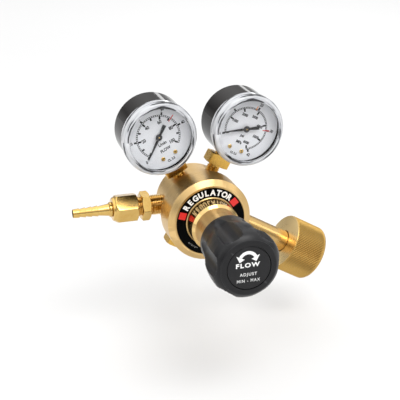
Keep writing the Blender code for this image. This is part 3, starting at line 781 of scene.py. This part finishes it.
nut_rings = [(8.6, NUT_FLOOR), (8.6, NUT_START + 0.3), (8.9, NUT_START), (20.4, NUT_START),
             (20.8, NUT_START + 0.1), (21.0, NUT_START + 0.4)]
nut_rings += [(knurl, height) for height in (81.9, 82.6, 90.0, 98.0, 105.0, 106.2)]
for turn in (4, 18, 32, 46, 60, 75, 90):
    nut_rings.append((NUT_RADIUS - NUT_CORNER * (1 - math.cos(math.radians(turn))),
                      NUT_END - NUT_CORNER * (1 - math.sin(math.radians(turn)))))
nut_rings += [(11.8, NUT_END), (11.4, NUT_END - 0.15), (11.2, NUT_END - 0.5)]
nut_rings += reversed(thread(*UNION_THREAD))
nut_rings += [(11.6, 87.0), (11.6, NUT_FLOOR)]
# The knurled nut carries painted shade in its grooves.
nut = carve("knurled_nut", INLET_PORT, nut_rings, even(KNURLS * 6), KNURLED_PAINTED_SHADE, "hand_nut",
            ("hand_nut",), 40.0)
# The faced front gets the brighter copy of the brass, its painted highlight.
reface(nut, FACED_PAINTED_HIGHLIGHT, lambda radius, height: radius < FACED_RADIUS or height < FACED_HEIGHT)

# ---------------------------------------------------------------- outlet

HEX_TURN = math.radians(26.0)
NUT_TURN = math.radians(-16.0)
HEX_APOTHEM = 9.5
HEX_START = 35.2
HEX_END = 42.0
COUPLING_START = 44.7
COUPLING_SHOULDER = 61.3
COUPLING_END = 63.0
FITTING_PITCH = 1.34
TAIL_TIP = 91.5
TAIL_RADIUS = 4.5
BARBS = 4
BARB_STEP = 4.5
BARB_DEPTH = 0.6
TAPER = 0.04
TAPER_START = 61.0
BORE_RADIUS = 2.8

adaptor = [(2, 17.5), (6.3, 17.5), (6.3, 25.2)]
adaptor += thread(25.2, 34.8, 7.5, 6.6, FITTING_PITCH)
adaptor += [(6.6, 35.0), (6.6, HEX_START), (8.9, HEX_START)]
adaptor += chamfered(polygon(6, HEX_APOTHEM, 0.5, HEX_TURN), HEX_START, HEX_END, 9.0, 9.0)
adaptor += [(8.8, HEX_END), (6.6, HEX_END), (6.6, 42.4)]
adaptor += thread(42.4, 54.3, 7.5, 6.7, FITTING_PITCH)
adaptor += [(6.9, 54.5), (2, 54.5)]
carve("outlet_union", OUTLET_PORT, adaptor, corner_angles(6, HEX_TURN), FITTING, "regulator",
      ("outlet_adaptor",))

coupling = [(7.9, COUPLING_START), (8.9, COUPLING_START)]
coupling += chamfered(polygon(6, HEX_APOTHEM, 0.45, NUT_TURN), COUPLING_START, COUPLING_SHOULDER, 9.15, 8.9,
                      low=(1.75, 2.2, 12, 1.5), high=(1.05, 3.2, 12, 1.5))
coupling += [(8.8, 61.35), (8.6, 62.3), (8.2, 62.8), (7.6, COUPLING_END), (5.2, COUPLING_END), (5.2, 57.0),
             (7.9, 57.0)]
carve("outlet_nut", OUTLET_PORT, coupling, corner_angles(6, NUT_TURN), FITTING, "coupling_nut",
      ("coupling_nut",))

tail = [(2.2, 54.9), (7.4, 54.9), (7.4, 56.6), (4.8, 56.6), (4.8, 63.3), (5.3, 63.3, 0.2), (5.5, 63.5, 0.2),
        (5.5, 64.8, 0.3), (TAIL_RADIUS, 65.4, 0.6)]
for index in range(BARBS):
    crest = TAIL_TIP - (BARBS - index) * BARB_STEP
    peak = TAIL_RADIUS - TAPER * (crest - TAPER_START)
    tail += [(peak - BARB_DEPTH, crest - 0.12, 0.05), (peak, crest, 0.08)]
tail += [(3.1, TAIL_TIP, 0.15), (2.95, TAIL_TIP, 0.05), (2.2, TAIL_TIP - 1.3, 0.1)]
barb = lathe("hose_barb", OUTLET_PORT, tail, FITTING, "regulator", ("hose_tail",), steps=96)
# The bore of the tail is painted dark as shade inside the hole.
reface(barb, BORE_PAINTED_SHADE, lambda radius, height: radius < BORE_RADIUS)

# ---------------------------------------------------------------- relief valve and back plug

relief = [(1.2, 17.5), (4.7, 17.5), (4.7, 28.0)]
relief += chamfered(polygon(4, 6.2, 0.5), 28.0, 35.8, 6.9, 7.4)
relief += [(4.6, 35.8), (3.9, 35.5), (3.9, 21.5), (1.2, 21.5)]
carve("relief_block", RELIEF_PORT, relief, corner_angles(4, per_side=24), MILLED, "regulator",
      ("relief_body",))
lathe("relief_vent", RELIEF_PORT, [(1.2, 32.2), (3.5, 32.2), (3.5, 35.5), (1.2, 35.5)],
      FITTING, "regulator", ("relief_cap",), steps=48)

plug = [(2.4, 40.0), (6.9, 40.0), (6.9, 52.8), (9.9, 52.8)]
plug += chamfered(polygon(6, 10.5, 0.5), 52.8, 57.0, 10.2, 9.9)
plug += [(9.7, 57.0), (0, 57.0), (0, 48.0), (2.4, 48.0)]
carve("back_plug", MAIN, plug, corner_angles(6), BRASS, "regulator", ("valve_plug",))
lathe("back_washer", MAIN, [(7.7, 51.8), (10.3, 51.8), (10.3, 52.5), (7.7, 52.5)],
      NYLON, "regulator", ("plug_washer",), fillet=0.15, steps=96)

# ---------------------------------------------------------------- gauges

CASE_RADIUS = 25.5
CASE_DEPTH = 30.5
CASE_WALL = 0.8
LENS_RADIUS = 26.5
LENS_SKIRT = 3.4
WINDOW_RADIUS = 23.6
DIAL_RADIUS = 24.0
DIAL_SETBACK = 3.5
INNER_ARC = 14.75
OUTER_ARC = 15.75
ARC_WIDTH = 0.25
TICK_WIDTH = 1.25
INNER_NUMBERS = 10.7
OUTER_NUMBERS = 19.9
NUMBER_SIZE = 3.0
POINTER_HUB = 2.4
STEM_THREAD = 24.0
BLOCK_DEPTH = 6.2
BLOCK_WIDTH = 8.4
BLOCK_POWER = 14.0
BLOCK_END = 40.6
CORNER_SPREAD = (0.0, 0.02, 0.045, 0.08, 0.13, 0.2, 0.3, 0.42, 0.6, 0.8)


def housing(name, upright):
    """Black case, the rubber plug in its back and the clear push-fit front."""
    back = -CASE_DEPTH
    bore = CASE_RADIUS - CASE_WALL
    lathe(name + "_casing", upright, [
        (5.2, back), (22.9, back, 0.3), (23.4, back + 0.4, 0.5), (CASE_RADIUS, back + 1.8, 1.6),
        (CASE_RADIUS, -1.5, 0.3), (bore, -1.5, 0.2), (bore, back + 1.8), (bore - 1.0, back + CASE_WALL),
        (5.2, back + CASE_WALL)],
        ENAMEL, "regulator", (name + "_case",), steps=160)
    lathe(name + "_rear_plug", upright, [
        (0, back - 1.3), (3.6, back - 1.3, 0.1), (3.9, back - 1.05, 0.1), (4.3, back - 1.3, 0.1),
        (6.2, back - 1.3, 0.4), (6.2, back - 0.3), (4.8, back - 0.3), (4.8, back + 1.1), (0, back + 1.1)],
        RUBBER, "regulator", (name + "_blowout_plug",), steps=64)
    window = lathe(name + "_window", upright, [
        (0, 5.2), (22.3, 5.2, 0.8), (25.2, 4.3, 0.9), (LENS_RADIUS, 1.8, 0.8),
        (LENS_RADIUS, -LENS_SKIRT, 0.2), (CASE_RADIUS + 0.35, -LENS_SKIRT, 0.1),
        (CASE_RADIUS + 0.35, -1, 0.2), (DIAL_RADIUS + 0.4, -1, 0.2), (DIAL_RADIUS + 0.4, 2.6, 0.6),
        (22, 3.8, 0.6), (0, 3.8)],
        CLEAR, "regulator", (name + "_lens",), steps=160)
    # The rim beyond the window gets the painted refraction.
    reface(window, RIM_PAINTED_REFRACTION, lambda radius, height: radius > WINDOW_RADIUS)


def dial_screws(name, hub, across):
    """The two slotted screws that hold the dial."""
    head = [(0.0, 0.55), (0.55, 0.6), (1.0, 0.72), (1.25, 0.78), (1.45, 0.6), (1.5, 0.35), (0.85, 0.3),
            (0.85, -4.5), (0.0, -4.5)]
    for index in (1, 2):
        low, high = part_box("%s_dial_screw_%d" % (name, index))
        centre = Vector(((low.x + high.x) / 2, hub.y + DIAL_SETBACK * MM, (low.z + high.z) / 2))
        spot = placement(centre, (0, -1, 0), across)
        carve("%s_screw_%d" % (name, index), spot, head, even(32), FITTING, "regulator",
              ("%s_dial_screw_%d" % (name, index),), 32.0)
        slots = [bar(35 + 50 * index, -1.1, 1.1, 0.34)]
        flat_shape("%s_screw_slot_%d" % (name, index), spot, slots, 0.5, 0.84, PRINT, "regulator")


def draw_dial(name, face, scale):
    """Printed scale: a double arc with an inner and an outer row of divisions and their numbers."""
    zero, sweep = scale["zero"], scale["sweep"]
    printed = arc_band(zero, zero + sweep, INNER_ARC, INNER_ARC + ARC_WIDTH)
    printed += arc_band(zero, zero + sweep, OUTER_ARC, OUTER_ARC + ARC_WIDTH)
    for index in range(scale["fine"] + 1):
        printed.append(bar(zero + sweep * index / scale["fine"], INNER_ARC + 0.15, OUTER_ARC + 0.15, 0.55))
    for index in range(scale["inner_steps"] + 1):
        start = 12.5 if index % scale["inner_skip"] == 0 else 13.0
        printed.append(bar(zero + sweep * index / scale["inner_steps"], start, INNER_ARC + 0.15, TICK_WIDTH))
    words = []
    for index, text in enumerate(scale["inner"]):
        if text:
            spot = zero + sweep * index * scale["inner_skip"] / scale["inner_steps"]
            x, y = clock(spot, INNER_NUMBERS - 0.4 if len(text) > 3 else INNER_NUMBERS)
            words.append((text, x, y, 0.0, scale["inner_size"], 0.13, 0.86))
    for share, text in scale["outer"]:
        printed.append(bar(zero + sweep * share, OUTER_ARC + 0.05, OUTER_ARC + 2.05, TICK_WIDTH))
        x, y = clock(zero + sweep * share, OUTER_NUMBERS)
        words.append((text, x, y, 0.0, NUMBER_SIZE, 0.11, 0.86))
    for text, y, size in scale["units"]:
        words.append((text, 0.0, y, 0.0, size, 0.11, 0.9))
    flat_shape(name + "_scale", face, printed, 0.0, INK, PRINT, "regulator")
    lettering(name + "_numbers", face @ Matrix.Translation((0, 0, 0.02 * MM)), words, PRINT, "regulator")
    marks = [bar(zero + sweep * share, 12.9, 18.4, 0.6) for share in scale["red"]]
    flat_shape(name + "_red_mark", face, marks, INK, 0.05, RED_INK, "regulator")
    if scale["orange"]:
        marks = [bar(zero + sweep * share, 15.0, 18.0, 0.7) for share in scale["orange"]]
        flat_shape(name + "_orange_mark", face, marks, INK, 0.05, ORANGE_INK, "regulator")


def hub_arc(start, end):
    """Points round the pointer's hub between two angles, every ten degrees."""
    return [(POINTER_HUB * math.cos(math.radians(turn)), POINTER_HUB * math.sin(math.radians(turn)))
            for turn in range(start, end + 1, 10)]


def needle(name, recess, recess_upright, rest):
    """Pointer with a straight tail, its hub and its pin, turned to its place at rest."""
    swing = recess @ Matrix.Rotation(math.radians(-rest), 4, "Z")
    blade = [(0.2, 18.3), (-0.2, 18.3), (-0.95, 4.0)] + hub_arc(110, 250)
    blade += [(-1.4, -9.5), (1.4, -9.5)] + hub_arc(290, 430) + [(0.95, 4.0)]
    flat_shape(name + "_needle", swing, [blade], 1.6, 2.0, POINTER, name + "_pointer",
               (name + "_pointer",), 0.06)
    lathe(name + "_needle_hub", recess_upright, [
        (0, 2.35), (0.9, 2.35, 0.1), (1.2, 2.15, 0.1), (2.1, 2.1, 0.15), (2.1, 1.95), (0, 1.95)],
        POINTER, name + "_pointer", steps=48)
    lathe(name + "_needle_pin", recess_upright, [(0, 2.5), (0.45, 2.5), (0.45, 2.3), (0, 2.3)],
          FITTING, name + "_pointer", fillet=0.08, steps=24)


def block(angle):
    """Section of a wrench block: a rounded rectangle, deep along X and wide along Y."""
    deep = abs(math.cos(angle) / BLOCK_DEPTH) ** BLOCK_POWER
    wide = abs(math.sin(angle) / BLOCK_WIDTH) ** BLOCK_POWER
    return 1.0 / (deep + wide) ** (1 / BLOCK_POWER)


def connector(name, stem, base):
    """Threaded stem with its wrench block, which starts at the height base."""
    rings = [(1.0, 17.5), (4.6, 17.5), (4.6, STEM_THREAD)]
    rings += thread(STEM_THREAD, base - 1.1, 4.95, 4.3, FITTING_PITCH)
    rings += [(4.2, base - 0.9), (4.2, base), (5.6, base)]
    rings += chamfered(block, base, BLOCK_END, 7.6, 7.6, low=(4.5, 0.6, 8, 1.4), high=(4.5, 0.6, 9, 1.4))
    rings += [(5.6, BLOCK_END), (3.8, BLOCK_END), (3.8, 47.4), (1.0, 47.4)]
    corner = math.atan2(BLOCK_WIDTH, BLOCK_DEPTH)
    angles = sorted(set(round(centre + sign * offset, 5) % (2 * math.pi)
                        for centre in (corner, math.pi - corner, math.pi + corner, -corner)
                        for sign in (-1, 1) for offset in CORNER_SPREAD))
    carve(name + "_connector", stem, rings, angles, MILLED, "regulator", (name + "_stem",))


def gauge(name, scale):
    """One gauge, which faces the viewer and leans outward with its stem."""
    hub = Vector(joints[name + "_pointer_turn"]["pos_m"])
    outward = Vector((hub.x - ORIGIN.x, 0.0, hub.z - ORIGIN.z)).normalized()
    across = Vector((outward.z, 0.0, -outward.x))
    setback = Matrix.Translation((0, DIAL_SETBACK * MM, 0))
    upright = placement(hub, (0, -1, 0), (1, 0, 0))
    recess = setback @ placement(hub, (0, -1, 0), across)
    housing(name, upright)
    lathe(name + "_dial_plate", setback @ upright, [
        (1.6, 0), (DIAL_RADIUS, 0), (DIAL_RADIUS, -0.7), (1.6, -0.7)],
        DIAL, "regulator", (name + "_dial",), fillet=0.12, steps=144)
    dial_screws(name, hub, across)
    draw_dial(name, recess, scale)
    needle(name, recess, setback @ upright, scale["rest"])
    connector(name, placement(PORTS, outward, (0, 1, 0)), scale["block_start"])


gauge("flow", {
    "rest": -126.5, "zero": -126.5, "sweep": 265.0, "fine": 50, "inner_steps": 10, "inner_skip": 2,
    "inner": ["", "20", "40", "60", "80", "100"], "inner_size": 3.5,
    "outer": [(0.0, "0"), (0.205, "10"), (0.41, "20"), (0.615, "30"), (0.82, "40")],
    "units": [("L/min", -6.0, 3.1), ("FLOW", -10.8, 3.1), ("CL 2.5", -19.6, 2.4)],
    "red": [0.7175], "orange": [], "block_start": 29.6})
gauge("pressure", {
    "rest": -120.0, "zero": -124.0, "sweep": 274.0, "fine": 60, "inner_steps": 6, "inner_skip": 1,
    "inner": ["", "1000", "2000", "3000", "4000", "5000", "6000"], "inner_size": 2.7,
    "outer": [(0.0, "0"), (0.24, "10"), (0.48, "20"), (0.72, "30"), (0.985, "42")],
    "units": [("psi", -6.0, 3.0), ("MPa", -10.8, 3.0), ("CL 2.5", -19.6, 2.2)],
    "red": [0.72], "orange": [0.46], "block_start": 32.3})

# ---------------------------------------------------------------- inner CAD pieces keep their shapes

INNER = {
    "adjusting_screw": BRASS, "adjusting_spring": SPRING, "diaphragm": RUBBER, "diaphragm_nut": FITTING,
    "diaphragm_plate": ALUMINIUM, "knob_screw": STEEL, "poppet": POLISHED, "poppet_seat": NYLON,
    "poppet_spring": SPRING, "relief_disc": NYLON, "relief_spring": SPRING, "slip_ring": STEEL,
    "spring_button": STEEL, "valve_nozzle": POLISHED}
for gauge_name in ("flow", "pressure"):
    for part in ("bourdon_tube", "movement_frame", "pinion_shaft", "sector"):
        INNER[gauge_name + "_" + part] = FITTING
for node, material in INNER.items():
    mesh = frame["nodes"][node].data
    mesh.materials.clear()
    mesh.materials.append(material)

# ---------------------------------------------------------------- floor

FLOOR_GAP = 0.035
FLOOR_REACH = 4.0
FLOOR_COLOUR = (0.63, 0.63, 0.63)


def floor_material():
    """Matt white floor, very slightly uneven in tone."""
    look = Looks("studio_floor_white")
    tone = look.noise(look.object_coords(), 3.0, 3.0, 0.5)
    paler = tuple(part * 1.02 for part in FLOOR_COLOUR)
    look.join(look.blend(tone, FLOOR_COLOUR, paler), look.shader.inputs["Base Color"])
    look.set(Roughness=0.7)
    return look.material


level = cad_box[0].z - FLOOR_GAP
floor_mesh = bpy.data.meshes.new("studio_floor")
floor_mesh.from_pydata([(-FLOOR_REACH, -FLOOR_REACH, level), (FLOOR_REACH, -FLOOR_REACH, level),
                        (FLOOR_REACH, FLOOR_REACH, level), (-FLOOR_REACH, FLOOR_REACH, level)],
                       [], [(0, 1, 2, 3)])
floor_mesh.materials.append(floor_material())
floor = bpy.data.objects.new("studio_floor", floor_mesh)
bpy.context.scene.collection.objects.link(floor)

# ---------------------------------------------------------------- light

SKY_HORIZON = 0.35
SKY_STOPS = ((0.14, 0.16), (0.3, 0.34), (0.42, 0.6), (0.62, 0.85))
SKY_TOP = 0.95
SKY_STRENGTH = 1.8


def softbox(name, direction, distance, width, height, power):
    """Area light aimed at the regulator."""
    data = bpy.data.lights.new(name, "AREA")
    data.shape = "RECTANGLE"
    data.size = width
    data.size_y = height
    data.energy = power
    item = bpy.data.objects.new(name, data)
    bpy.context.scene.collection.objects.link(item)
    aim = Vector(direction).normalized()
    item.location = ORIGIN + aim * distance
    item.rotation_euler = aim.to_track_quat("Z", "Y").to_euler()


def sky():
    """White studio surround: dim near the horizon and bright overhead."""
    world = bpy.data.worlds.new("studio")
    bpy.context.scene.world = world
    world.use_nodes = True
    nodes, links = world.node_tree.nodes, world.node_tree.links
    background = nodes["Background"]
    coords = nodes.new("ShaderNodeTexCoord")
    split = nodes.new("ShaderNodeSeparateXYZ")
    links.new(coords.outputs["Generated"], split.inputs[0])
    ramp = nodes.new("ShaderNodeValToRGB")
    links.new(split.outputs[2], ramp.inputs[0])
    first, last = ramp.color_ramp.elements
    first.position = 0.0
    first.color = (SKY_HORIZON, SKY_HORIZON, SKY_HORIZON, 1.0)
    last.position = SKY_TOP
    last.color = (1.0, 1.0, 1.0, 1.0)
    for position, grey in SKY_STOPS:
        stop = ramp.color_ramp.elements.new(position)
        stop.color = (grey, grey, grey, 1.0)
    links.new(ramp.outputs[0], background.inputs[0])
    background.inputs[1].default_value = SKY_STRENGTH


softbox("key", (0.1, -0.5, 0.86), 1.3, 0.7, 0.4, 6.0)
softbox("fill_left", (-0.9, -0.35, 0.35), 1.4, 0.3, 0.9, 1.5)
softbox("fill_right", (0.95, -0.35, 0.3), 1.4, 0.25, 0.9, 1.5)
softbox("streak", (0.366, 0.914, 0.211), 1.43, 0.36, 0.11, 0.35)
sky()

# ---------------------------------------------------------------- camera

AZIMUTH = -0.2999
ELEVATION = 0.3788
DISTANCE = 0.72
TARGET_LEFT = 0.0075
TARGET_RISE = 0.0150

camera_data = bpy.data.cameras.new("camera")
camera_data.sensor_width = 36.0
camera_data.lens = 91.49
camera = bpy.data.objects.new("camera", camera_data)
bpy.context.scene.collection.objects.link(camera)
back = Vector((math.sin(AZIMUTH) * math.cos(ELEVATION), -math.cos(AZIMUTH) * math.cos(ELEVATION),
               math.sin(ELEVATION)))
right = Vector((math.cos(AZIMUTH), math.sin(AZIMUTH), 0.0))
up = back.cross(right)
target = ORIGIN - right * TARGET_LEFT + up * TARGET_RISE
facing = Matrix((right, up, back)).transposed().to_4x4()
camera.matrix_world = Matrix.Translation(target + back * DISTANCE) @ facing
bpy.context.scene.camera = camera
bpy.context.scene.view_settings.view_transform = "Standard"

bpy.context.view_layer.update()
